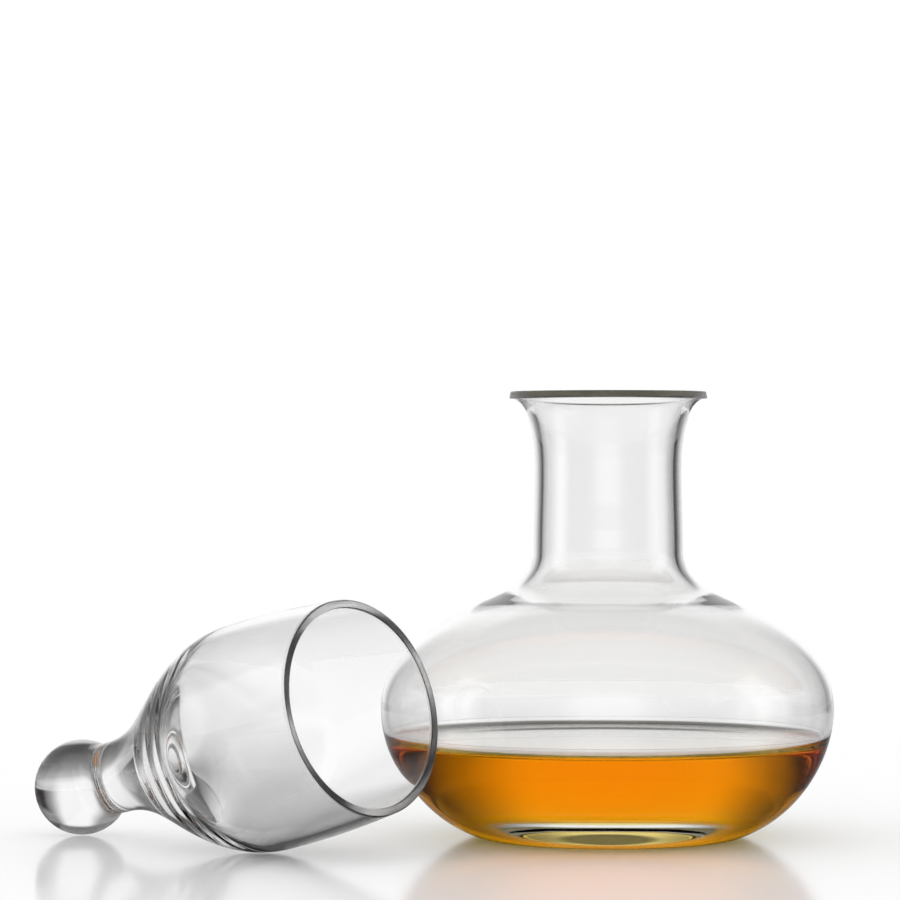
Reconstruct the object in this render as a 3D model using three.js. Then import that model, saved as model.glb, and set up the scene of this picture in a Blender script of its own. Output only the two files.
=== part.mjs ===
// Schnapps carafe, part filled, with a ball-footed drinking glass that lies beside it.
// Millimetres, +Z up. The origin is the centre of the carafe's base, on the table.
// +X runs to the right along the table and +Y runs away from the viewer.

import * as THREE from 'three';

// Carafe, outside. Heights stack up from the table: each is measured from the end of the last.
const baseRadius = 33.8;
const baseFlare = 17; // degrees above level at which the wall leaves the base
const bellyRadius = 58;
const bellyHeight = 33.2;
const shoulderReach = 11; // how far the shoulder's top stands out from the foot of the neck
const shoulderRise = 28.1;
const shoulderSlope = 22; // degrees above level
const neckRadius = 18.9; // at the narrowest place
const neckFootFlare = 0.4;
const neckFootRise = 11.7;
const neckLength = 21;
const throatFlare = 2.3;
const throatRise = 15.3;
const throatSlope = 69; // degrees above level
const lipFlare = 3.5; // to where the rounded edge starts
const lipRise = 3.4;
const lipSlope = 13; // degrees above level

// Carafe, inside
const carafeWall = 1.8;
const carafeFloor = 9; // glass thickness at the middle of the base
const floorSpread = 4; // how fast the heavy bottom thins out up the wall
const fillHeight = 25.7; // the drink's surface above the table
const fillGap = 0.3; // between the drink and the glass round it

// Drinking glass, lengths along its own axis from the ball's centre
const ballRadius = 12.3;
const stemAngle = 55; // degrees from the axis at which the stem leaves the ball
const stemLength = 7.4; // from the ball to the waist, the narrowest place
const waistRadius = 9.3;
const bowlLength = 52; // from the waist to the bowl's widest ring
const bowlRadius = 28.7;
const mouthLength = 33.6; // from the widest ring to the mouth
const mouthRadius = 26.8;
const mouthSlope = 6; // degrees by which the wall leans in at the mouth
const bowlWall = 1.8;
const bowlFloor = 21.5; // solid glass from the waist to the bottom of the hollow
const joinGap = 0.3; // between the ball's stem and the bowl

// How the glass lies
const glassHeading = -40.8; // degrees from +X, the way that its mouth faces
const glassBearing = 224.3; // degrees from +X, where its mouth lies as seen from the carafe
const glassStandoff = 2.7; // clear space between the glass and the carafe's belly

// Facets
const carafeSides = 40;
const glassSides = 36;
const facetLength = 5; // along a profile
const fewestFacets = 4; // on a short curve
const curveFullness = 0.35; // a curve's handles, as a share of the straight way between its ends

const outward = new THREE.Vector2(1, 0);
const upward = new THREE.Vector2(0, 1);

// A profile point is a Vector2: x is the radius and y the place along the axis.
const point = (radius, along) => new THREE.Vector2(radius, along);

function direction(degrees) {
  const angle = THREE.MathUtils.degToRad(degrees);
  return point(Math.cos(angle), Math.sin(angle));
}

function faceted(curve) {
  const facets = Math.round(curve.getLength() / facetLength);
  return curve.getPoints(Math.max(fewestFacets, facets));
}

// A smooth curve that leaves start along startWay and arrives at end along endWay.
function sweep(start, startWay, end, endWay) {
  const handle = curveFullness * start.distanceTo(end);
  return faceted(new THREE.CubicBezierCurve(
    start,
    start.clone().addScaledVector(startWay, handle),
    end.clone().addScaledVector(endWay, -handle),
    end,
  ));
}

// Square to a profile's way, on the glass's inner side
const inwards = (way) => point(-way.y, way.x);

// A fire-polished edge: a half circle from the end of the outer wall round to the inner wall.
function roundEdge(outerEnd, way, wall) {
  const centre = outerEnd.clone().addScaledVector(inwards(way), wall / 2);
  const start = way.angle() - Math.PI / 2;
  return faceted(new THREE.EllipseCurve(centre.x, centre.y, wall / 2, wall / 2, start, start + Math.PI));
}

// The same line moved inwards, square to itself, by a thickness that may change along it.
function inset(line, thicknessAt) {
  return line.map((here, i) => {
    const before = line[Math.max(i - 1, 0)];
    const after = line[Math.min(i + 1, line.length - 1)];
    const way = after.clone().sub(before).normalize();
    return here.clone().addScaledVector(inwards(way), thicknessAt(here));
  });
}

// Several stretches in a row, each starting where the last one ends.
const chain = (...stretches) => stretches.flatMap((stretch, i) => (i === 0 ? stretch : stretch.slice(1)));

// A solid turned about +Z from a profile that starts and ends on the axis.
function turned(name, profile, sides, material) {
  const geometry = new THREE.LatheGeometry(profile, sides);
  geometry.rotateX(Math.PI / 2);
  const mesh = new THREE.Mesh(geometry, material);
  mesh.name = name;
  return mesh;
}

const clearGlass = () => new THREE.MeshStandardMaterial({
  color: 0xeef2f2, roughness: 0.02, metalness: 0, transparent: true, opacity: 0.35,
});
const amberDrink = () => new THREE.MeshStandardMaterial({
  color: 0xe8920a, roughness: 0.02, metalness: 0, transparent: true, opacity: 0.8,
});

// Carafe
const shoulderHeight = bellyHeight + shoulderRise;
const neckFootHeight = shoulderHeight + neckFootRise;
const neckTop = neckFootHeight + neckLength;

const baseEdge = point(baseRadius, 0);
const belly = point(bellyRadius, bellyHeight);
const neckFoot = point(neckRadius + neckFootFlare, neckFootHeight);
const shoulder = point(neckFoot.x + shoulderReach, shoulderHeight);
const neck = point(neckRadius, neckTop);
const throat = point(neckRadius + throatFlare, neckTop + throatRise);
const lipRoot = point(throat.x + lipFlare, throat.y + lipRise);

const lipWay = direction(lipSlope);
const throatWay = direction(throatSlope);
const shoulderWay = direction(180 - shoulderSlope);

const carafeOutside = chain(
  sweep(baseEdge, direction(baseFlare), belly, upward),
  sweep(belly, upward, shoulder, shoulderWay),
  sweep(shoulder, shoulderWay, neckFoot, upward),
  [neckFoot, neck],
  sweep(neck, upward, throat, throatWay),
  sweep(throat, throatWay, lipRoot, lipWay),
);

// The wall thickens from the belly down to the base.
function carafeThickness(here) {
  const depth = Math.max(0, 1 - here.y / bellyHeight);
  return carafeWall + (carafeFloor - carafeWall) * depth ** floorSpread;
}

const carafeInside = inset(carafeOutside, carafeThickness);

const carafe = turned('carafe', [
  point(0, 0),
  ...chain(carafeOutside, roundEdge(lipRoot, lipWay, carafeWall), carafeInside.toReversed()),
  point(0, carafeFloor),
], carafeSides, clearGlass());

// The drink fills the carafe up to a level surface.
const fillSide = inset(carafeOutside, (here) => carafeThickness(here) + fillGap);
const dry = fillSide.findIndex((here) => here.y > fillHeight);
const [lastWet, firstDry] = [fillSide[dry - 1], fillSide[dry]];
const waterline = lastWet.clone().lerp(firstDry, (fillHeight - lastWet.y) / (firstDry.y - lastWet.y));

const drink = turned('drink', [
  point(0, carafeFloor + fillGap),
  ...fillSide.slice(0, dry),
  waterline,
  point(0, fillHeight),
], carafeSides, amberDrink());

// Drinking glass, upright on its own axis with the ball's centre at zero
const waistReach = ballRadius * Math.cos(THREE.MathUtils.degToRad(stemAngle)) + stemLength;
const bowlReach = waistReach + bowlLength;
const mouthReach = bowlReach + mouthLength;
const waist = point(waistRadius, waistReach);
const bowlWidest = point(bowlRadius, bowlReach);
const mouth = point(mouthRadius, mouthReach);
const mouthWay = direction(90 + mouthSlope);

const stemStart = THREE.MathUtils.degToRad(90 - stemAngle);
const ball = faceted(new THREE.EllipseCurve(0, 0, ballRadius, ballRadius, -Math.PI / 2, stemStart));

const ballKnob = turned('ball_knob', [
  point(0, -ballRadius),
  ...chain(ball, sweep(ball.at(-1), direction(180 - stemAngle), waist, upward)).slice(1),
  point(0, waistReach),
], glassSides, clearGlass());

const bowlFoot = point(waistRadius, waistReach + joinGap);
const hollowBottom = point(0, waistReach + bowlFloor);
const hollowWidest = point(bowlRadius - bowlWall, bowlReach);

const bowlLower = sweep(bowlFoot, upward, bowlWidest, upward);
const bowlUpper = sweep(bowlWidest, upward, mouth, mouthWay);
const bowlOutside = chain(bowlLower, bowlUpper);
const hollow = chain(
  sweep(hollowBottom, outward, hollowWidest, upward),
  inset(bowlUpper, () => bowlWall),
);

const glassBowl = turned('glass_bowl', [
  point(0, bowlFoot.y),
  ...chain(bowlOutside, roundEdge(mouth, mouthWay, bowlWall), hollow.toReversed()),
], glassSides, clearGlass());

// The glass lies on its ball and its bowl: its tilt is the least that keeps every ring above the table.
const tiltTouching = (ring) => Math.atan2(ring.x, ring.y) - Math.asin(ballRadius / ring.length());
const tilt = Math.max(...bowlOutside.map(tiltTouching));
const heading = THREE.MathUtils.degToRad(glassHeading);
const lie = new THREE.Euler(0, Math.PI / 2 - tilt, heading, 'ZYX');

const axisWay = new THREE.Vector3(0, 0, 1).applyEuler(lie);
const acrossWay = new THREE.Vector3(0, 1, 0).applyEuler(lie);
const belowWay = new THREE.Vector3(1, 0, 0).applyEuler(lie);

// The farthest that any ring of the glass reaches from the mouth's centre towards the carafe's axis
const bearing = THREE.MathUtils.degToRad(glassBearing);
const fromCarafe = new THREE.Vector3(Math.cos(bearing), Math.sin(bearing), 0);
const ringSpread = Math.hypot(acrossWay.dot(fromCarafe), belowWay.dot(fromCarafe));
const ringReach = (ring) => ring.x * ringSpread - (ring.y - mouthReach) * axisWay.dot(fromCarafe);
const glassReach = Math.max(...bowlOutside.map(ringReach));

const glass = new THREE.Group();
glass.add(glassBowl, ballKnob);
glass.rotation.copy(lie);
glass.position.copy(fromCarafe).multiplyScalar(bellyRadius + glassStandoff + glassReach);
glass.position.addScaledVector(axisWay, -mouthReach);
glass.position.z = ballRadius;

const set = new THREE.Group();
set.add(carafe, drink, glass);

export default set;
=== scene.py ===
# %% [markdown]
# A squat schnapps carafe, part filled with an amber spirit, and a ball-footed drinking glass
# that lies on its side next to it. Both are clear blown glass, so nearly all that the eye sees
# is light that was bent on its way through. The lesson therefore spends its effort on true
# wall thickness, on the border between glass and drink, and on a bright backdrop with dark
# corners beside it, which draws the edges of clear glass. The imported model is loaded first,
# because each piece made here takes the place of its plain solids and moves with its bodies.

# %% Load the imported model
import math

import bmesh
import bpy
from mathutils import Euler, Matrix, Vector
from mathutils.geometry import interpolate_bezier


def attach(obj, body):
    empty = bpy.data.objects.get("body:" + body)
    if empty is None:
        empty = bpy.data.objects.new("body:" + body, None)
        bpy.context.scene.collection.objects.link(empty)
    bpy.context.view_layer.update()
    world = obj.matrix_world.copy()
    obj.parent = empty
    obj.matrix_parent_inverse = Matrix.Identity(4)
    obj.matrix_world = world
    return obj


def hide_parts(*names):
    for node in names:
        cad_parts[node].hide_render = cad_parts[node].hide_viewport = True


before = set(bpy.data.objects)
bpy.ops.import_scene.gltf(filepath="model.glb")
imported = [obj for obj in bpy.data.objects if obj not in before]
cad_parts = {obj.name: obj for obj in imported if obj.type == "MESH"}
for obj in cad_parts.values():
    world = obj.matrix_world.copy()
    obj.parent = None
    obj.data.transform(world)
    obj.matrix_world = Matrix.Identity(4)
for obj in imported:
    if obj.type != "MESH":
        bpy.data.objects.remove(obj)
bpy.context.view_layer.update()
scene = bpy.context.scene

# %% [markdown]
# The photograph was taken level, from about a metre away, with a long lens. A long lens keeps
# the two pieces in their true proportions, and a level camera keeps the carafe's sides upright.
# The place was worked out from the ovals of the lip, the drink's surface and the base, because
# how far an oval opens tells how high the camera stood above it.

# %% Camera
MM = 0.001
CAMERA_PLACE_MM = Vector((-40.87, -955.7, 99.5))
LENS_MM = 148
SENSOR_MM = 36
LEVEL = 90  # degrees: a camera that isn't turned looks straight down

camera_data = bpy.data.cameras.new("studio_camera")
camera_data.lens = LENS_MM
camera_data.sensor_width = SENSOR_MM
camera = bpy.data.objects.new("studio_camera", camera_data)
camera.location = CAMERA_PLACE_MM * MM
camera.rotation_euler = (math.radians(LEVEL), 0, 0)
scene.collection.objects.link(camera)
scene.camera = camera
scene.view_settings.view_transform = "Standard"
print("camera", [round(c, 3) for c in camera.location], "lens", camera_data.lens)

# %% [markdown]
# Both pieces are turned shapes: a glassblower keeps the soft glass round by spinning it on the
# pipe. In Blender a turned shape is a profile, drawn once from the axis outwards and back to the
# axis, and spun about that axis. A Screw modifier or a spun curve could do the same. Here the
# profile is worked out in millimetres from Bezier curves and spun in bmesh, because the inside
# of the glass has to follow the outside at a chosen thickness.

# %% Profile tools
FULLNESS = 0.35  # a curve's handles, as a share of the straight way between its ends
FEWEST_POINTS = 12  # on a short curve
OUTWARD = Vector((1, 0))
UPWARD = Vector((0, 1))


def slope(degrees):
    """A way in the profile: 0 is outward, 90 is up along the axis."""
    angle = math.radians(degrees)
    return Vector((math.cos(angle), math.sin(angle)))


def sweep(start, start_way, end, end_way, step=1.0, fullness=(FULLNESS, FULLNESS)):
    """A smooth curve that leaves start along start_way and reaches end along end_way."""
    straight = (end - start).length
    points = max(FEWEST_POINTS, round(straight / step))
    first = start + start_way * (fullness[0] * straight)
    last = end - end_way * (fullness[1] * straight)
    return interpolate_bezier(start, first, last, end, points)


def arc(centre, radius, first, last, points):
    """Points on a circle, from one slope to another, in degrees."""
    step = (last - first) / (points - 1)
    return [centre + slope(first + step * i) * radius for i in range(points)]


def chain(*stretches):
    """Several stretches in a row, each starting where the last one ends."""
    line = list(stretches[0])
    for stretch in stretches[1:]:
        line += list(stretch)[1:]
    return line


def inset(line, thickness_at):
    """The same line moved towards the axis, square to itself, by a thickness."""
    moved = []
    for i, here in enumerate(line):
        way = (line[min(i + 1, len(line) - 1)] - line[max(i - 1, 0)]).normalized()
        moved.append(here + Vector((-way.y, way.x)) * thickness_at(here))
    return moved


quarter = arc(Vector((0, 0)), 10, 0, 90, 3)
print("a quarter turn at 10 mm:", [tuple(round(c, 1) for c in p) for p in quarter])

# %% [markdown]
# Spinning needs one more tool. bmesh's spin copies the profile round the axis and joins the
# copies with faces; the points on the axis then lie on top of each other and are merged. All
# faces are shaded smooth, and there are enough of them that no flat shows through the glass,
# because a lens of flat facets breaks up what is seen through it.

# %% Spinning a profile
SAME_PLACE = 1e-7  # metres: points closer than this are merged


def turned(name, profile, sides):
    """A mesh object spun about Z from a profile in millimetres, from axis to axis."""
    bm = bmesh.new()
    verts = [bm.verts.new((p.x * MM, 0, p.y * MM)) for p in profile]
    edges = [bm.edges.new(pair) for pair in zip(verts, verts[1:])]
    bmesh.ops.spin(bm, geom=verts + edges, cent=(0, 0, 0), axis=(0, 0, 1),
                   angle=math.tau, steps=sides, use_merge=True)
    bmesh.ops.remove_doubles(bm, verts=bm.verts, dist=SAME_PLACE)
    bmesh.ops.recalc_face_normals(bm, faces=bm.faces)
    for face in bm.faces:
        face.smooth = True
    mesh = bpy.data.meshes.new(name)
    bm.to_mesh(mesh)
    bm.free()
    piece = bpy.data.objects.new(name, mesh)
    scene.collection.objects.link(piece)
    print(name, len(mesh.vertices), "points,", len(mesh.polygons), "faces")
    return piece


print("points merge within", SAME_PLACE / MM, "mm")

# %% [markdown]
# The carafe is one gather of glass, blown into a flat sphere, with the neck drawn out and its lip
# flared. Its outside could be modelled with a few subdivided rings. A chain of curves is used
# instead, because each end point is then a place that can be measured: the base's edge, the
# widest ring, the shoulder, the neck and the lip.

# %% Carafe, outside
BASE_EDGE = Vector((33.8, 0))
BELLY = Vector((58, 33.2))
SHOULDER = Vector((30.3, 61.3))
NECK_FOOT = Vector((19.3, 73))
NECK = Vector((18.9, 94))
THROAT = Vector((21.2, 109.3))
LIP_ROOT = Vector((24.7, 112.7))
BASE_FLARE, SHOULDER_SLOPE, THROAT_SLOPE, LIP_SLOPE = 17, 158, 69, 13
FINE_STEP, FINEST_STEP = 0.5, 0.4  # millimetres between points on a tight curve

carafe_outside = chain(
    sweep(BASE_EDGE, slope(BASE_FLARE), BELLY, UPWARD),
    sweep(BELLY, UPWARD, SHOULDER, slope(SHOULDER_SLOPE)),
    sweep(SHOULDER, slope(SHOULDER_SLOPE), NECK_FOOT, UPWARD, step=FINE_STEP),
    sweep(NECK_FOOT, UPWARD, NECK, UPWARD),
    sweep(NECK, UPWARD, THROAT, slope(THROAT_SLOPE)),
    sweep(THROAT, slope(THROAT_SLOPE), LIP_ROOT, slope(LIP_SLOPE), step=FINEST_STEP),
)
print("carafe outside:", len(carafe_outside), "points")

# %% [markdown]
# The wall of a blown piece is never quite even. It is thin at the belly, where the glass was
# stretched most, and grows towards a heavy bottom, where hot glass sinks. The neck is stouter,
# with a faint ring where it was drawn in from the shoulder, and thins again where the lip was
# flared. A Solidify modifier would give one thickness all over, so a function tells the
# thickness at each height instead. Each change in it is gradual, because a kink in the wall
# shows as a dark line.

# %% Carafe, thickness of the wall
CARAFE_WALL = 1.8
CARAFE_FLOOR = 9.0
FLOOR_SPREAD = 4.0  # how fast the heavy bottom thins out up the wall
NECK_WALL, NECK_DRAW = 2.1, 2.0  # thickness, and how gently the belly's wall passes into it
NECK_RING, NECK_RING_HEIGHT, NECK_RING_SPREAD = 0.25, 63.8, 3.0


def carafe_thickness(here):
    """The thickness of the wall in millimetres, behind a place on the outside."""
    depth = max(0.0, 1 - here.y / BELLY.y)
    bottom = (CARAFE_FLOOR - CARAFE_WALL) * depth ** FLOOR_SPREAD
    drawn = 1 / (1 + math.exp((NECK_RING_HEIGHT - here.y) / NECK_DRAW))
    flared = max(0.0, (here.y - THROAT.y) / (LIP_ROOT.y - THROAT.y))
    neck = (NECK_WALL - CARAFE_WALL) * (drawn - flared)
    ring = math.exp(-((here.y - NECK_RING_HEIGHT) / NECK_RING_SPREAD) ** 2)
    return CARAFE_WALL + bottom + neck + NECK_RING * ring


for place_name, spot in (("belly", BELLY), ("neck", NECK), ("lip", LIP_ROOT)):
    print("wall at the", place_name, round(carafe_thickness(spot), 2), "mm")

# %% [markdown]
# The inside of a blown piece is never cut: it is the outside, less the wall. So the outside's
# line is moved inwards by that thickness. Only the floor of the hollow is drawn by itself, as a
# flat that curves up into the wall, because sinking glass smooths itself out there. Seen through
# the drink, that curve draws the ring and the gold oval in the base. The line also gets a point
# where the drink's edge will touch it, because glass that is wet bends light differently.

# %% Carafe, inside
FLOOR_FLAT = 14.0  # radius of the even floor of the hollow
FLOOR_CORNER = 19.0  # height at which the floor's curve has become the wall
STILL_LEVEL = 23.6  # height of the drink's surface, away from the wall
MENISCUS_RISE = 3.2  # how far it climbs at the wall


def crossing(line, level):
    """Where a rising line passes a height, and how many of its points lie below."""
    below = next(i for i, p in enumerate(line) if p.y > level)
    low, high = line[below - 1], line[below]
    return low.lerp(high, (level - low.y) / (high.y - low.y)), below


inner_wall = [p for p in inset(carafe_outside, carafe_thickness) if p.y > FLOOR_CORNER]
up_the_wall = (inner_wall[1] - inner_wall[0]).normalized()
floor_rim = Vector((FLOOR_FLAT, CARAFE_FLOOR))
corner = sweep(floor_rim, OUTWARD, inner_wall[0], up_the_wall, step=FINE_STEP)
carafe_inside = chain(corner, inner_wall)
drink_edge, below_edge = crossing(carafe_inside, STILL_LEVEL + MENISCUS_RISE)
carafe_inside.insert(below_edge, drink_edge)
narrowest = min(p.x for p in carafe_inside if p.y > SHOULDER.y)
print("inside radius at the neck:", round(narrowest, 2), "mm")

# %% [markdown]
# The lip was cracked off the pipe, ground flat and eased at its corners. A plain half circle
# would be simpler, but it traps the light and looks black, so the edge is a flat between two
# rounded corners. The faces of the lip, and those that the drink will cover, are picked out
# now, because each kind gets a glass of its own later.

# %% Lip, and the carafe as a whole
LIP_CORNER = 0.3
CORNER_POINTS = 7
CARAFE_SIDES = 160
MARGIN = 0.05  # millimetres that keep one kind of face apart from the next
FACES_UP = 0.01  # a face's normal points up by more than this


def eased_edge(outer_end, way_degrees, wall, corner):
    """From the outer wall to the inner wall, over a flat with two rounded corners."""
    way, across = slope(way_degrees), slope(way_degrees + 90)
    end = outer_end + way * (wall / 2 - corner)
    outer = arc(end + across * corner, corner, way_degrees - 90, way_degrees, CORNER_POINTS)
    inner = arc(end + across * (wall - corner), corner, way_degrees, way_degrees + 90, CORNER_POINTS)
    return [outer_end, *outer, *inner, outer_end + across * wall]


lip = eased_edge(LIP_ROOT, LIP_SLOPE, CARAFE_WALL, LIP_CORNER)
carafe = turned("blown_carafe", [
    Vector((0, 0)),
    *chain(carafe_outside, lip, carafe_inside[::-1]),
    Vector((0, CARAFE_FLOOR)),
], sides=CARAFE_SIDES)
lip_faces = [face for face in carafe.data.polygons if face.center.z > LIP_ROOT.y * MM
             and face.center.xy.length > (LIP_ROOT.x + MARGIN) * MM]
wet_faces = [face for face in carafe.data.polygons
             if face.normal.z > FACES_UP and face.center.z < drink_edge.y * MM]
print(len(lip_faces), "faces on the lip,", len(wet_faces), "under the drink")

# %% [markdown]
# The drink wets the glass, so its surface climbs the wall in a small curve, the meniscus, which
# the eye reads as the dark line at the back and the gold line in front. Where drink meets glass
# there is one border and not two, and light crosses it almost straight. The bending there is left
# to the wet faces of the glass, so the drink's own side only has to say where the colour begins.
# Each face of the drink therefore notes whether it is open to the air.

# %% Drink
MENISCUS_REACH = 0.9
MENISCUS_STEPS = 50
SIDE_GAP = 0.02  # keeps the drink's side off the glass, so that no two faces share a place

drink_side = inset(carafe_inside, lambda here: SIDE_GAP)
meniscus = []
for step in range(MENISCUS_STEPS - 2):
    climb = 1 - step / MENISCUS_STEPS  # 1 at the drink's edge, near 0 on the still surface
    on_wall, _ = crossing(drink_side, STILL_LEVEL + MENISCUS_RISE * climb)
    meniscus.append(on_wall - OUTWARD * (MENISCUS_REACH * (1 - climb) ** 2 / climb))
drink = turned("amber_spirit", [
    Vector((0, CARAFE_FLOOR + SIDE_GAP)),
    *[p for p in drink_side if p.y < meniscus[0].y - MARGIN],
    *meniscus,
    Vector((drink_edge.x / 2, STILL_LEVEL)),
    Vector((0, STILL_LEVEL)),
], sides=CARAFE_SIDES)
open_to_air = drink.data.attributes.new("open_to_air", "FLOAT", "FACE")
open_to_air.data.foreach_set("value", [float(face.normal.z > 0) for face in drink.data.polygons])
print("drink's edge at", [round(c, 1) for c in drink_edge], "mm")

# %% [markdown]
# The drinking glass is two gathers: a solid ball with a short stem, and a bowl blown with a thick
# bottom, stuck together while hot. They could be two objects, but glass that has fused has no
# surface inside, and a renderer would show one. So ball, stem and bowl are one profile.

# %% Drinking glass, outside
BALL_RADIUS = 12.3
BALL_POINTS = 60
STEM_ANGLE = 55  # degrees from the axis at which the stem leaves the ball
STEM_LENGTH = 7.4
WAIST_RADIUS = 9.3
BOWL_LENGTH, BOWL_RADIUS = 52, 28.7
MOUTH_LENGTH, MOUTH_RADIUS, MOUTH_SLOPE = 33.6, 26.8, 6

waist_reach = BALL_RADIUS * math.cos(math.radians(STEM_ANGLE)) + STEM_LENGTH
bowl_reach = waist_reach + BOWL_LENGTH
mouth_reach = bowl_reach + MOUTH_LENGTH
waist = Vector((WAIST_RADIUS, waist_reach))
widest = Vector((BOWL_RADIUS, bowl_reach))
mouth = Vector((MOUTH_RADIUS, mouth_reach))

ball = arc(Vector((0, 0)), BALL_RADIUS, -90, 90 - STEM_ANGLE, BALL_POINTS)
stem = sweep(ball[-1], slope(180 - STEM_ANGLE), waist, UPWARD, step=FINE_STEP)
bowl_outside = chain(
    sweep(waist, UPWARD, widest, UPWARD),
    sweep(widest, UPWARD, mouth, slope(90 + MOUTH_SLOPE)),
)
print("glass from ball to mouth:", round(mouth_reach + BALL_RADIUS, 1), "mm")

# %% [markdown]
# The hollow of the bowl ends in a round bottom well above the stem. The solid glass below it is a
# strong lens, and draws the rings and stripes that make the glass look heavy. The hollow's curve
# is its own and not the outside's moved in, because the bubble that was blown there was round.
# The mouth's edge was cut off and ground, so it is a flat with narrow corners.

# %% Drinking glass, hollow and mouth
BOWL_WALL, BOWL_FLOOR = 2.0, 21.5
HOLLOW_FULLNESS = 0.29  # a little less than elsewhere, which makes the bottom rounder
MOUTH_CORNER = 0.3
GLASS_SIDES = 144

bowl_upper = [p for p in bowl_outside if p.y >= bowl_reach]
hollow_bottom = Vector((0, waist_reach + BOWL_FLOOR))
hollow_widest = Vector((BOWL_RADIUS - BOWL_WALL, bowl_reach))
hollow = chain(
    sweep(hollow_bottom, OUTWARD, hollow_widest, UPWARD, fullness=(HOLLOW_FULLNESS, FULLNESS)),
    inset(bowl_upper, lambda here: BOWL_WALL),
)
mouth_edge = eased_edge(mouth, 90 + MOUTH_SLOPE, BOWL_WALL, MOUTH_CORNER)
glass_profile = chain(ball, stem, bowl_outside, mouth_edge, hollow[::-1])
glass = turned("ball_footed_glass", glass_profile, sides=GLASS_SIDES)
ground_faces = [face for face in glass.data.polygons
                if face.center.z > (mouth_reach + MARGIN) * MM]
print(len(ground_faces), "faces on the mouth's edge")

# %% [markdown]
# The glass rests on two places, the ball and one ring of the bowl, so its tilt follows from its
# shape: it is the least that keeps every ring above the table. It could be turned by hand until
# it looks right, but worked out it can't sink in or float. The turn is put into the mesh and not
# into the object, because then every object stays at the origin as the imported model's do.

# %% How the glass lies
GLASS_HEADING = -40.8  # degrees from +X, the way that its mouth faces
GLASS_BEARING = 224.3  # degrees from +X, where its mouth lies as seen from the carafe
GLASS_STANDOFF = 2.7  # clear space to the carafe's belly, seen from above

tilt = max(math.atan2(p.x, p.y) - math.asin(BALL_RADIUS / p.length) for p in bowl_outside)
lie = Euler((0, math.pi / 2 - tilt, math.radians(GLASS_HEADING)), "XYZ")
turn = lie.to_matrix()
axis_way = turn @ Vector((0, 0, 1))
from_carafe = Vector((*slope(GLASS_BEARING), 0))
sideways = [(turn @ side).dot(from_carafe) for side in (Vector((1, 0, 0)), Vector((0, 1, 0)))]
spread, lean = math.hypot(*sideways), axis_way.dot(from_carafe)
reach = max(p.x * spread - (p.y - mouth_reach) * lean for p in bowl_outside)
place = from_carafe * (BELLY.x + GLASS_STANDOFF + reach) - axis_way * mouth_reach
place.z = BALL_RADIUS
glass.data.transform(Matrix.Translation(place * MM) @ turn.to_4x4())
print("glass tilt", round(math.degrees(tilt), 2), "ball at", [round(c, 1) for c in place])

# %% [markdown]
# Materials are built from nodes. One small function adds a node, sets it up and links it, so that
# each material below reads as a list of what it consists of. Colours are written as sRGB hex, the
# way that a colour picker shows them, and a second function turns them into the linear values
# that the renderer works with.

# %% Node helper
def add_node(tree, kind, inputs=None, **settings):
    """Adds a node, sets its settings, and sets or links its inputs."""
    node = tree.nodes.new(kind)
    for name, value in settings.items():
        setattr(node, name, value)
    for socket, value in (inputs or {}).items():
        if isinstance(value, bpy.types.NodeSocket):
            tree.links.new(value, node.inputs[socket])
        else:
            node.inputs[socket].default_value = value
    return node


def linear(hex_colour):
    """An sRGB hex colour as linear red, green, blue and alpha."""
    channels = [int(hex_colour[i:i + 2], 16) / 255 for i in (1, 3, 5)]
    return [c / 12.92 if c <= 0.04045 else ((c + 0.055) / 1.055) ** 2.4 for c in channels] + [1.0]


def new_material(name):
    """A material without nodes, and its node tree."""
    material = bpy.data.materials.new(name)
    material.use_nodes = True
    material.node_tree.nodes.clear()
    return material, material.node_tree


print("mid grey in linear:", [round(c, 3) for c in linear("#808080")])

# %% [markdown]
# Soda-lime glass, mouth-blown, is clear and has next to no colour at this thickness. Blowing leaves
# soft waves about 22 mm apart, and turning on the pipe leaves rings about the axis. Both are only
# microns deep, yet they bend what is seen through them. They could be shaped in the mesh, but it
# would need millions of faces, so they are bumps. The axis of the lying glass is tilted, so its
# rings are laid out in a frame that lies with it.

# %% Glass
GLASS_COLOUR = "#FDFDFD"
GLASS_IOR = 1.52
WAVE_APART, WAVE_DEPTH = 22 * MM, 0.015 * MM
# Real turning rings are about 1 mm apart, too fine to show here, so they are drawn 4 mm apart.
RING_APART, RING_DEPTH = 4 * MM, 0.003 * MM
RING_STRETCH = (0.08, 0.08, 1.0)  # the pattern changes slowly across the axis, which makes rings


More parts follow.
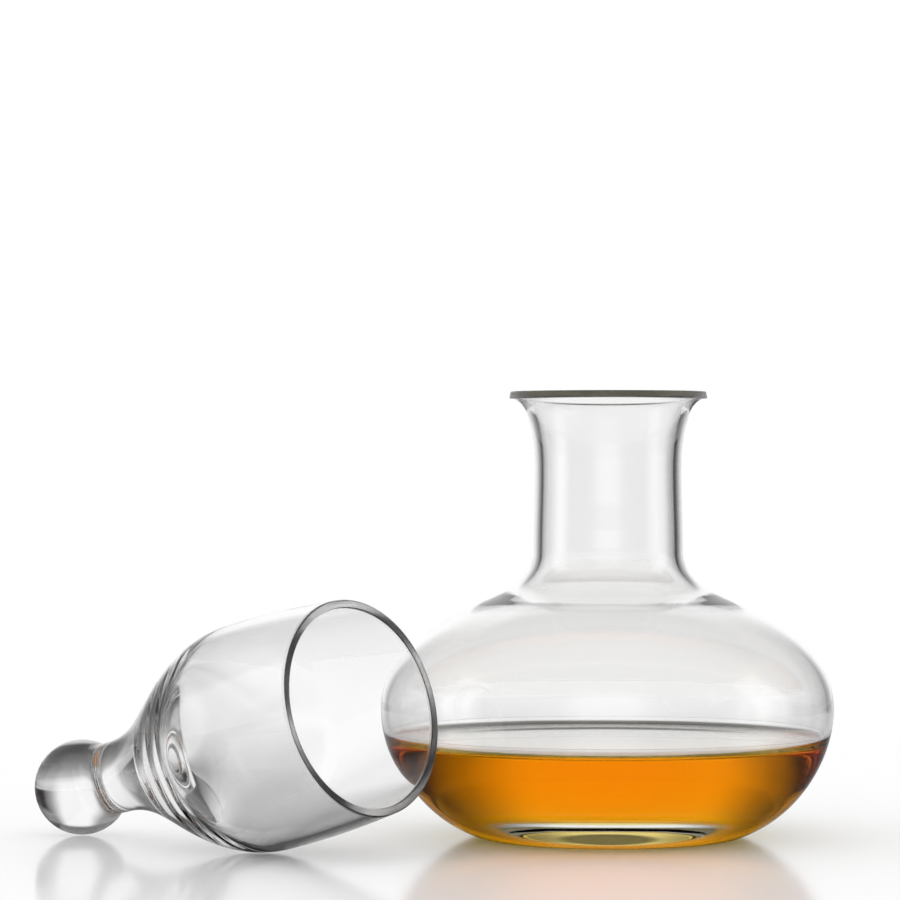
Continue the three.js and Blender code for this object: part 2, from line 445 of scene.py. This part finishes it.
def blown_glass(name, middle, turned_by, roughness=0.0, ior=GLASS_IOR):
    """Clear glass whose waves and rings follow a piece's own axis."""
    material, tree = new_material(name)
    where = add_node(tree, "ShaderNodeTexCoord").outputs["Object"]
    along = add_node(tree, "ShaderNodeMapping", {
        "Vector": where, "Location": middle, "Rotation": turned_by},
        vector_type="TEXTURE").outputs["Vector"]
    waves = add_node(tree, "ShaderNodeTexNoise", {
        "Vector": along, "Scale": 1 / WAVE_APART, "Detail": 1.0}).outputs["Fac"]
    waved = add_node(tree, "ShaderNodeBump", {
        "Height": waves, "Strength": 1.0, "Distance": WAVE_DEPTH}).outputs["Normal"]
    flattened = add_node(tree, "ShaderNodeMapping", {
        "Vector": along, "Scale": RING_STRETCH}).outputs["Vector"]
    rings = add_node(tree, "ShaderNodeTexNoise", {
        "Vector": flattened, "Scale": 1 / RING_APART, "Detail": 1.0}).outputs["Fac"]
    ringed = add_node(tree, "ShaderNodeBump", {
        "Height": rings, "Strength": 1.0, "Distance": RING_DEPTH,
        "Normal": waved}).outputs["Normal"]
    surface = add_node(tree, "ShaderNodeBsdfPrincipled", {
        "Base Color": linear(GLASS_COLOUR), "Roughness": roughness, "IOR": ior,
        "Transmission Weight": 1.0, "Normal": ringed})
    add_node(tree, "ShaderNodeOutputMaterial", {"Surface": surface.outputs["BSDF"]})
    print(name, "roughness", roughness, "index", round(ior, 3))
    return material


print("waves", WAVE_APART / MM, "mm apart, rings", RING_APART / MM, "mm apart")

# %% [markdown]
# One glass has several finishes. Blown and gathered walls are as smooth as the flame left them,
# and show only what they bend. Ground edges scatter light, so they read as a grey line: the
# carafe's lip was left coarser and is an even grey, and the mouth of the glass was ground finer.
# Glass under the drink bends light only by as much as it is denser than the drink, so its index is
# the one divided by the other. Each finish is a material of its own on the faces picked out above.

# %% Glass, where each finish goes
SPIRIT_IOR = 1.36
LIP_ROUGHNESS, MOUTH_ROUGHNESS = 0.5, 0.3

upright = (0, 0, 0), (0, 0, 0)
lying = place * MM, lie
for piece, finish in (
    (carafe, blown_glass("soda_lime_glass_blown", *upright)),
    (carafe, blown_glass("soda_lime_glass_lip_ground", *upright, roughness=LIP_ROUGHNESS)),
    (carafe, blown_glass("soda_lime_glass_wetted", *upright, ior=GLASS_IOR / SPIRIT_IOR)),
    (glass, blown_glass("soda_lime_glass_gathered", *lying)),
    (glass, blown_glass("soda_lime_glass_mouth_ground", *lying, roughness=MOUTH_ROUGHNESS)),
):
    piece.data.materials.append(finish)
for faces, slot in ((lip_faces, 1), (wet_faces, 2), (ground_faces, 1)):
    for face in faces:
        face.material_index = slot
print("finishes:", [len(piece.data.materials) for piece in (carafe, glass)])

# %% [markdown]
# The spirit's surface is still, with a swell of a few microns that breaks up the mirror image of
# the wall behind it. Only faces that are open to the air bend and mirror light, and the others let
# it straight through. In the photograph the backdrop is brighter than white, so its mirror image in
# the surface is white too. Here white is the most that there is, so a coat of the same index on top
# makes up for it: it mirrors a second time, and more light isn't needed.

# %% Spirit, its surface
SWELL_APART, SWELL_DEPTH = 14 * MM, 0.003 * MM

spirit, tree = new_material("cask_aged_spirit_still")
where = add_node(tree, "ShaderNodeTexCoord").outputs["Object"]
swell = add_node(tree, "ShaderNodeTexNoise", {
    "Vector": where, "Scale": 1 / SWELL_APART, "Detail": 1.0}).outputs["Fac"]
swollen = add_node(tree, "ShaderNodeBump", {
    "Height": swell, "Strength": 1.0, "Distance": SWELL_DEPTH}).outputs["Normal"]
surface = add_node(tree, "ShaderNodeBsdfPrincipled", {
    "Base Color": linear("#FFFFFF"), "Roughness": 0.0, "IOR": SPIRIT_IOR,
    "Transmission Weight": 1.0, "Normal": swollen,
    "Coat Weight": 1.0, "Coat Roughness": 0.0, "Coat IOR": SPIRIT_IOR, "Coat Normal": swollen})
in_the_glass = add_node(tree, "ShaderNodeBsdfTransparent")
is_open = add_node(tree, "ShaderNodeAttribute", attribute_name="open_to_air").outputs["Fac"]
border = add_node(tree, "ShaderNodeMixShader", {
    0: is_open, 1: in_the_glass.outputs["BSDF"], 2: surface.outputs["BSDF"]})
print("swell", SWELL_APART / MM, "mm apart")

# %% [markdown]
# A cask-aged spirit gets its colour from the wood. It takes out blue at once and green slowly, and
# leaves red alone, so a thin layer looks straw yellow and a hand's breadth of it deep amber. A
# coloured surface would look the same all over. An absorbing volume changes with depth by itself.

# %% Spirit, its colour
SPIRIT_COLOUR = "#FFEC00"
SPIRIT_DENSITY = 78.0  # of what the colour lacks, how much is lost per metre

volume = add_node(tree, "ShaderNodeVolumeAbsorption", {
    "Color": linear(SPIRIT_COLOUR), "Density": SPIRIT_DENSITY})
add_node(tree, "ShaderNodeOutputMaterial", {
    "Surface": border.outputs["Shader"], "Volume": volume.outputs["Volume"]})
drink.data.materials.append(spirit)
for depth in (10, 100):
    left = [math.exp(-(1 - c) * SPIRIT_DENSITY * depth * MM) for c in linear(SPIRIT_COLOUR)[:3]]
    print("light left after", depth, "mm:", [round(share, 2) for share in left])

# %% [markdown]
# The pieces stand on a polished white acrylic sheet, which mirrors them softly at a low angle and
# fades into the white behind. A square plane would do, but a disc is alike from all sides. It lies
# a fifth of a millimetre low, so that its face and the base of the carafe don't share a place.

# %% Floor
FLOOR_RADIUS = 1.2
FLOOR_SIDES = 96
FLOOR_DROP = 0.2 * MM

floor_mesh = bpy.data.meshes.new("studio_floor")
bm = bmesh.new()
bmesh.ops.create_circle(bm, cap_ends=True, segments=FLOOR_SIDES, radius=FLOOR_RADIUS)
bm.to_mesh(floor_mesh)
bm.free()
floor = bpy.data.objects.new("studio_floor", floor_mesh)
floor.location.z = -FLOOR_DROP
scene.collection.objects.link(floor)
print("floor of", FLOOR_RADIUS, "m")

# %% [markdown]
# Clear glass is photographed in a bright field: a white panel straight behind it, and darkness
# beside the panel. The glass bends the darkness in at its edges and so draws its own outline.
# Here a panel stands on each of the four sides, so that the glass also reads from the other
# sides. How fast a panel falls off beside its middle can be read from the drink, which spreads it
# out. Glowing planes could stand there, but the floor and the world both need to know the panels,
# so they are a list of levels by direction, and a helper turns such a list into a grey.

# %% Panels
PANELS = (  # degrees from straight back or front towards the side, level
    (0, 1.0), (12, 1.0), (15, 0.92), (20, 0.64), (25, 0.4), (30, 0.27), (35, 0.15),
    (39, 0.05), (42, 0.02), (70, 0.02), (76, 0.4), (81, 1.0), (90, 1.0),
)


def graded(tree, value, steps):
    """A grey that changes with a value, as listed in steps."""
    reach = steps[-1][0]
    share = add_node(tree, "ShaderNodeMath", {0: value, 1: reach}, operation="DIVIDE").outputs[0]
    node = add_node(tree, "ShaderNodeValToRGB", {0: share})
    ramp = node.color_ramp
    while len(ramp.elements) < len(steps):
        ramp.elements.new(0.5)  # anywhere, since its place is set next
    for element, (at, level) in zip(ramp.elements, steps):
        element.position = at / reach
        element.color = (level, level, level, 1)
    return node.outputs["Color"]


def panel_level(tree, vector):
    """How bright the panels are in the way that a vector points."""
    way = add_node(tree, "ShaderNodeSeparateXYZ", {0: vector}).outputs
    across, ahead = (
        add_node(tree, "ShaderNodeMath", {0: way[axis]}, operation="ABSOLUTE").outputs[0]
        for axis in ("X", "Y"))
    aside = add_node(tree, "ShaderNodeMath", {0: across, 1: ahead}, operation="ARCTAN2").outputs[0]
    degrees = add_node(tree, "ShaderNodeMath", {0: aside}, operation="DEGREES").outputs[0]
    return graded(tree, degrees, PANELS)


print("panels of", len(PANELS), "levels, darkest", min(level for _, level in PANELS))

# %% [markdown]
# Seen by the camera, the sheet is plain white. Seen through glass it shows the shades that a
# studio gives it, upside down, and those keep clear glass from vanishing. Flags and cards could be
# modelled to cast them, but soft shade seen through glass takes very many samples to come clean. So
# these shades are painted into the sheet's colour, following what a ray can tell: where it lands,
# how steeply it comes down, and how many borders it has crossed. Two mean solid glass or one wall,
# four mean a hollow with two walls, and five mean that the drink's open surface was one of them.

# %% Floor, what a ray can tell
PAINTED_PATCH_MIDDLE = Vector((0, 0.1, 0))  # middle of a dark patch painted on the sheet behind the carafe, painted shade where a dark card would lie
TWO_WALLS = 3.5  # more crossings than this mean a hollow
DRINK_SURFACE, HALF_A_CROSSING = 5.0, 0.5

floor_paint, tree = new_material("white_acrylic_with_painted_shade")
rays = add_node(tree, "ShaderNodeLightPath").outputs
where = add_node(tree, "ShaderNodeTexCoord").outputs["Object"]
facing = add_node(tree, "ShaderNodeLayerWeight", {"Blend": 0.5}).outputs["Facing"]
bowl_middle = place + axis_way * bowl_reach
under_bowl, under_ball = (Vector((spot.x, spot.y, 0)) * MM for spot in (bowl_middle, place))
from_middle, from_bowl, from_ball, from_painted_patch = (
    add_node(tree, "ShaderNodeVectorMath", {0: where, 1: spot}, operation="DISTANCE").outputs["Value"]
    for spot in (Vector((0, 0, 0)), under_bowl, under_ball, PAINTED_PATCH_MIDDLE))
crossed = rays["Transmission Depth"]
is_hollow = add_node(tree, "ShaderNodeMath", {
    0: crossed, 1: TWO_WALLS}, operation="GREATER_THAN").outputs[0]
is_drink = add_node(tree, "ShaderNodeMath", {
    0: crossed, 1: DRINK_SURFACE, 2: HALF_A_CROSSING}, operation="COMPARE").outputs[0]
print("bowl over", [round(c, 3) for c in under_bowl], "ball over", [round(c, 3) for c in under_ball])

# %% [markdown]
# Close to a piece, shade is painted on the sheet. The ball is a strong lens that shows all the sheet
# round it, so through it the painted shade runs from dark under the ball to white far off, which is
# also from steep to level. Through the bowl the painted shade turns white sooner. Straight down it is
# light again, but the tones were chosen for level views, so from high up the glass looks smoked. A
# level view through a hollow reaches far along the sheet, where the painted shade thins out with
# distance.
# Far out, the panels' light is painted on the sheet. Lists of steps hold these tones.

# %% Floor, painted shade and light seen through glass
# Painted shade on the sheet, as seen through the ball and through the bowl.
BALL_PAINTED_SHADE = (  # 0 is straight down and 1 along the sheet, tone
    (0.06, 0.7), (0.16, 0.04), (0.34, 0.05), (0.5, 0.1), (0.64, 0.2),
    (0.76, 0.4), (0.86, 0.72), (0.93, 0.95), (1.0, 1.0),
)
BOWL_PAINTED_SHADE = (  # the same, through the bowl
    (0.06, 0.8), (0.16, 0.12), (0.3, 0.16), (0.5, 0.32), (0.58, 0.5),
    (0.66, 0.72), (0.74, 0.9), (0.82, 1.0), (1.0, 1.0),
)
# Painted shade round the carafe, as seen in a level view through a hollow.
LEVEL_PAINTED_SHADE = (  # metres from the carafe's axis, tone in a level view
    (0.09, 0.1), (0.126, 0.14), (0.193, 0.45), (0.29, 0.7), (0.41, 0.9), (0.6, 1.0),
)
PAINTED_PATCH_SHADE = (  # metres from the painted patch's middle, painted shade through the drink's surface
    (0.0, 0.03), (0.052, 0.03), (0.072, 0.5), (0.09, 0.9), (0.12, 1.0),
)
LEVEL_VIEW = 0.78, 0.9  # where a view passes from steep to level
BY_BOWL, BY_BALL, BY_CARAFE = (0.04, 0.09), (0.06, 0.1), (0.05, 0.11)  # metres where each piece's painted shade ends
FAR_OUT = 0.41, 0.53  # metres from which the panels' light is painted on the sheet
CARAFE_PAINTED_SHADE = 0.25  # painted shade next to the carafe

is_level, off_bowl, off_ball, far_out = (
    add_node(tree, "ShaderNodeMapRange", {
        "Value": value, "From Min": start, "From Max": end}).outputs["Result"]
    for value, (start, end) in (
        (facing, LEVEL_VIEW), (from_bowl, BY_BOWL), (from_ball, BY_BALL), (from_middle, FAR_OUT)))
carafe_painted_shade = add_node(tree, "ShaderNodeMapRange", {
    "Value": from_middle, "From Min": BY_CARAFE[0], "From Max": BY_CARAFE[1],
    "To Min": CARAFE_PAINTED_SHADE, "To Max": 1.0}).outputs["Result"]
bowl_painted_shade = add_node(tree, "ShaderNodeMix", {
    0: off_bowl, 2: graded(tree, facing, BOWL_PAINTED_SHADE), 3: 1.0}).outputs[0]
# near, solid and dry carry the painted shade close to the pieces.
near = add_node(tree, "ShaderNodeMath", {0: carafe_painted_shade, 1: bowl_painted_shade}, operation="MULTIPLY").outputs[0]
solid = add_node(tree, "ShaderNodeMix", {
    0: off_ball, 2: graded(tree, facing, BALL_PAINTED_SHADE), 3: near}).outputs[0]
hollow_painted_shade = add_node(tree, "ShaderNodeMix", {
    0: is_level, 2: near, 3: graded(tree, from_middle, LEVEL_PAINTED_SHADE)}).outputs[0]
dry = add_node(tree, "ShaderNodeMix", {0: is_hollow, 2: solid, 3: hollow_painted_shade}).outputs[0]
close_painted_shade = add_node(tree, "ShaderNodeMix", {
    0: is_drink, 2: dry, 3: graded(tree, from_painted_patch, PAINTED_PATCH_SHADE)}).outputs[0]
# Far out, the panels' light is painted on the sheet; closer in, painted shade.
painted_through_glass = add_node(tree, "ShaderNodeMix", {
    0: far_out, 2: close_painted_shade, 3: panel_level(tree, where)}).outputs[0]
print("the sheet's tone takes", len(tree.nodes), "nodes")

# %% [markdown]
# Acrylic sheet, cast and polished, has an index of 1.5 and a soft gloss, which gives the eye a
# blurred mirror image that grows towards level. Towards the camera it mirrors less than that, since
# the photograph's image of the carafe is pale, so camera rays get a lower index. Mirrored rays see
# the sheet painted almost black, as painted shade for the underside of a piece, which is in its own
# shade. For the camera alone the sheet fades out, so that no edge shows between floor and backdrop.

# %% Floor, its finish
CAMERA_IOR, ACRYLIC_IOR = 1.16, 1.5
ACRYLIC_ROUGHNESS = 0.12
# painted shade that mirrored rays see on the sheet
MIRRORED_PAINTED_SHADE = 0.05
FADE_FROM, FADE_TO = 0.16, 0.36

seen = rays["Is Camera Ray"]
mirrored = add_node(tree, "ShaderNodeMath", {  # Is Glossy Ray is also 1 for light through glass
    0: rays["Is Glossy Ray"], 1: rays["Is Transmission Ray"]}, operation="SUBTRACT").outputs[0]
painted_for_other_rays = add_node(tree, "ShaderNodeMix", {
    0: mirrored, 2: painted_through_glass, 3: MIRRORED_PAINTED_SHADE}).outputs[0]
# The camera sees plain white; all other rays see the painted shade and light.
tone = add_node(tree, "ShaderNodeMix", {0: seen, 2: painted_for_other_rays, 3: 1.0}).outputs[0]
gloss = add_node(tree, "ShaderNodeMix", {
    0: rays["Is Transmission Ray"], 2: CAMERA_IOR, 3: ACRYLIC_IOR}).outputs[0]
sheet = add_node(tree, "ShaderNodeBsdfPrincipled", {
    "Base Color": tone, "Roughness": ACRYLIC_ROUGHNESS, "IOR": gloss}).outputs["BSDF"]
far = add_node(tree, "ShaderNodeMapRange", {
    "Value": from_middle, "From Min": FADE_FROM, "From Max": FADE_TO},
    interpolation_type="SMOOTHERSTEP").outputs["Result"]
fade = add_node(tree, "ShaderNodeMath", {0: far, 1: seen}, operation="MULTIPLY").outputs[0]
clear = add_node(tree, "ShaderNodeBsdfTransparent").outputs["BSDF"]
faded = add_node(tree, "ShaderNodeMixShader", {0: fade, 1: sheet, 2: clear}).outputs["Shader"]
add_node(tree, "ShaderNodeOutputMaterial", {"Surface": faded})
floor_mesh.materials.append(floor_paint)
print("floor fades out from", FADE_FROM, "to", FADE_TO, "m")

# %% [markdown]
# The world holds the panels that light bent by glass finds past the floor. Well above the table
# the corners between them are grey and not black, since a studio's walls catch some light there.
# Straight up it is dark, so that the top of a rim or a ball gets a dark line, and below the
# horizon, where a ray may pass the edge of the floor, it is almost white.

# %% World, what stands round the table
CORNER_LEVEL, TOP_LEVEL, LOW_LEVEL = 0.3, 0.13, 0.9
ALOFT, TOP, LOW = (0.3, 0.42), (0.6, 0.7), (-0.1, -0.25)  # heights: 0 is level, 1 straight up

world = bpy.data.worlds.new("white_studio")
scene.world = world
world.use_nodes = True
tree = world.node_tree
tree.nodes.clear()
toward = add_node(tree, "ShaderNodeTexCoord").outputs["Generated"]
way = add_node(tree, "ShaderNodeSeparateXYZ", {0: toward}).outputs
aloft = add_node(tree, "ShaderNodeMapRange", {
    "Value": way["Z"], "From Min": ALOFT[0], "From Max": ALOFT[1],
    "To Min": 0.0, "To Max": CORNER_LEVEL}).outputs["Result"]
overhead, below = (
    add_node(tree, "ShaderNodeMapRange", {
        "Value": way["Z"], "From Min": start, "From Max": end},
        interpolation_type="SMOOTHSTEP").outputs["Result"]
    for start, end in (TOP, LOW))
corners = add_node(tree, "ShaderNodeMath", {
    0: panel_level(tree, toward), 1: aloft}, operation="MAXIMUM").outputs[0]
with_top = add_node(tree, "ShaderNodeMix", {0: overhead, 2: corners, 3: TOP_LEVEL}).outputs[0]
around = add_node(tree, "ShaderNodeMix", {0: below, 2: with_top, 3: LOW_LEVEL}).outputs[0]
print("levels: corners aloft", CORNER_LEVEL, "top", TOP_LEVEL, "below", LOW_LEVEL)

# %% [markdown]
# What is mirrored differs from what is bent. A mirror image in the outside of the glass shows the
# room, which is grey, and on the camera's side it is dark, because the photographer keeps that side
# dark to have no bright spots on the glass. The camera itself sees plain white, and so does all
# light that reaches the sheet, also through glass: then the shadows stay soft and pale, as under a
# white tent. A strength of 1 is white, so nothing is lit more than a colour needs.

# %% World, who sees it
ROOM_LEVEL = 0.35
FRONT_FROM, FRONT_TO = -0.35, -0.7  # how far a way points to the camera's side, 1 is all of it
FRONT_DARK = 0.92  # share of the light that is taken away there
SCATTERED = 0.5  # a ray that the sheet has scattered counts 1 or more

rays = add_node(tree, "ShaderNodeLightPath").outputs
mirrored = add_node(tree, "ShaderNodeMath", {
    0: rays["Is Glossy Ray"], 1: rays["Is Transmission Ray"]}, operation="SUBTRACT").outputs[0]
room = add_node(tree, "ShaderNodeMapRange", {
    "Value": mirrored, "To Min": 0.0, "To Max": ROOM_LEVEL}).outputs["Result"]
front = add_node(tree, "ShaderNodeMapRange", {
    "Value": way["Y"], "From Min": FRONT_FROM, "From Max": FRONT_TO,
    "To Min": 0.0, "To Max": FRONT_DARK}).outputs["Result"]
with_room = add_node(tree, "ShaderNodeMath", {0: around, 1: room}, operation="MAXIMUM").outputs[0]
in_front = add_node(tree, "ShaderNodeMath", {0: front, 1: mirrored}, operation="MULTIPLY").outputs[0]
dimmed = add_node(tree, "ShaderNodeMix", {0: in_front, 2: with_room, 3: 0.0}).outputs[0]
bent = add_node(tree, "ShaderNodeMath", {
    0: rays["Is Glossy Ray"], 1: rays["Is Transmission Ray"]}, operation="MAXIMUM").outputs[0]
not_scattered = add_node(tree, "ShaderNodeMath", {
    0: rays["Diffuse Depth"], 1: SCATTERED}, operation="LESS_THAN").outputs[0]
sees_panels = add_node(tree, "ShaderNodeMath", {
    0: bent, 1: not_scattered}, operation="MULTIPLY").outputs[0]
strength = add_node(tree, "ShaderNodeMix", {0: sees_panels, 2: 1.0, 3: dimmed}).outputs[0]
background = add_node(tree, "ShaderNodeBackground", {
    "Color": linear("#FFFFFF"), "Strength": strength}).outputs["Background"]
add_node(tree, "ShaderNodeOutputWorld", {"Surface": background})
print("the world takes", len(tree.nodes), "nodes")

# %% [markdown]
# Light in the rim of a glass bounces along inside the wall many times before it gets out. If the
# renderer gives up early, the rim turns black, so it may follow such a ray further than usual.

# %% Bounces
scene.cycles.max_bounces = 32
scene.cycles.transmission_bounces = 32
scene.cycles.glossy_bounces = 16
scene.cycles.transparent_max_bounces = 32
print("bounces:", scene.cycles.max_bounces)

# %% [markdown]
# Each piece now gets the body of the imported model that it moves with. The drink moves with the
# carafe, and the drinking glass is a body of its own. Each piece also hides the plain solids that
# it stands for.

# %% Ride on the bodies
for piece, body, nodes, slot in (
    (carafe, "carafe", ["carafe"], "carafe_glass"),
    (drink, "carafe", ["drink"], "amber_drink"),
    (glass, "glass", ["glass_bowl", "ball_knob"], "bowl_glass"),
):
    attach(piece, body)
    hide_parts(*nodes)
    print(piece.name, "moves with", body)
